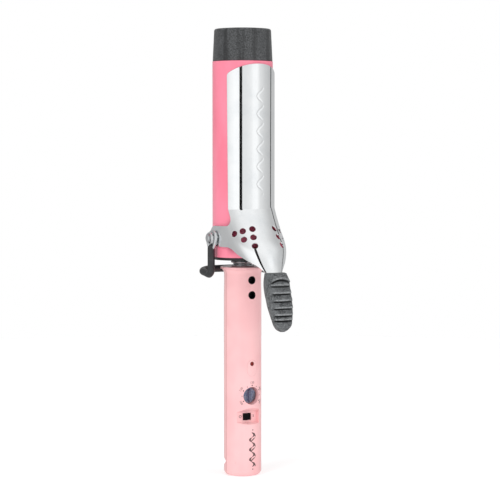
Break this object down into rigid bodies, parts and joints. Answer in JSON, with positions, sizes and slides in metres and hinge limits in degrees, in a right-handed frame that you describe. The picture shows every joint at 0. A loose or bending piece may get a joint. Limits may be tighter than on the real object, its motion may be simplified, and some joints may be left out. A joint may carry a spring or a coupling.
{
  "type": "curling iron",
  "caption": "Hand-held curling iron: heated round barrel, sprung spoon clip worked by a thumb lever, swing-out rest stand, and a slim handle with a temperature dial and a slide switch.",
  "frame": {"origin": "mouth of the cord bore, in the middle of the handle's end face", "axes": "+Z along the barrel's axis, from the handle to the tip; -Y towards the lever and the controls; X is the hinge axis of the clip and the stand"},
  "size_m": [0.055, 0.0744, 0.297],
  "materials": {
    "handle_plastic": "satin light pink moulding",
    "screw_steel": "zinc plated",
    "black_screw": "black oxide",
    "black_plastic": "heat resistant, matt",
    "plate_plastic": "glossy light pink inlay",
    "lamp_red": "dark red lens, unlit",
    "board_green": "solder resist",
    "terminal_nylon": "natural nylon",
    "lead_sleeving": "woven glass sleeving",
    "steel": "plain steel",
    "bright_steel": "polished, plated",
    "barrel_coating": "satin ceramic coating, pink",
    "aluminium": "as extruded",
    "ceramic": "fired, unglazed",
    "sensor_bead": "glass coated bead",
    "fuse_can": "tinned can",
    "mica": "pressed mica",
    "cap_plastic": "dark grey, satin",
    "spring_steel": "bronzed spring wire",
    "clip_chrome": "bright chrome on pressed steel",
    "grip_rubber": "dark grey, matt, ribbed",
    "stand_rubber": "black coated tube",
    "knob_plastic": "blue-grey",
    "slider_plastic": "black"
  },
  "bodies": {
    "root": {"handle_front_shell": "handle_plastic", "handle_back_shell": "handle_plastic", "shell_screws": "screw_steel", "neck_screws": "black_screw", "cord_gland": "black_plastic", "indicator_plate": "plate_plastic", "indicator_lamp": "lamp_red", "control_board": "board_green", "dial_potentiometer": "black_plastic", "power_switch": "black_plastic", "mains_terminal": "terminal_nylon", "heater_leads": "lead_sleeving", "neck_tube": "steel", "neck_washers": "bright_steel", "base_ring": "black_plastic", "barrel": "barrel_coating", "heat_spreaders": "aluminium", "heater_element": "ceramic", "temperature_sensor": "sensor_bead", "thermal_fuse": "fuse_can", "tip_disc": "mica", "tip_cap": "cap_plastic", "hinge_pins": "bright_steel", "hinge_washers": "steel", "spring_bracket": "steel", "spring_pin": "steel", "return_spring": "spring_steel"},
    "clip": {"clip_spoon": "clip_chrome", "ear_bushes": "bright_steel", "thumb_grip": "grip_rubber"},
    "stand": {"stand_wires": "bright_steel", "stand_sleeve": "stand_rubber"},
    "dial": {"dial_knob": "knob_plastic", "dial_shaft": "steel"},
    "slider": {"switch_slider": "slider_plastic"}
  },
  "joints": [
    {"name": "clip_hinge", "type": "hinge", "parent": "root", "child": "clip", "pos_m": [0, 0, 0.1587], "axis": [1, 0, 0], "range_deg": [0, 25], "stiffness_Nm_per_rad": 0.6, "springref_deg": -28.65, "deforming": ["return_spring"]},
    {"name": "stand_hinge", "type": "hinge", "parent": "root", "child": "stand", "pos_m": [0, 0, 0.1587], "axis": [1, 0, 0], "range_deg": [0, 75]},
    {"name": "dial_turn", "type": "hinge", "parent": "root", "child": "dial", "pos_m": [0, -0.0083, 0.0539], "axis": [0, -1, 0], "range_deg": [-135, 135]},
    {"name": "switch_slide", "type": "slide", "parent": "root", "child": "slider", "axis": [1, 0, 0], "range_m": [0, 0.0021]}
  ]
}
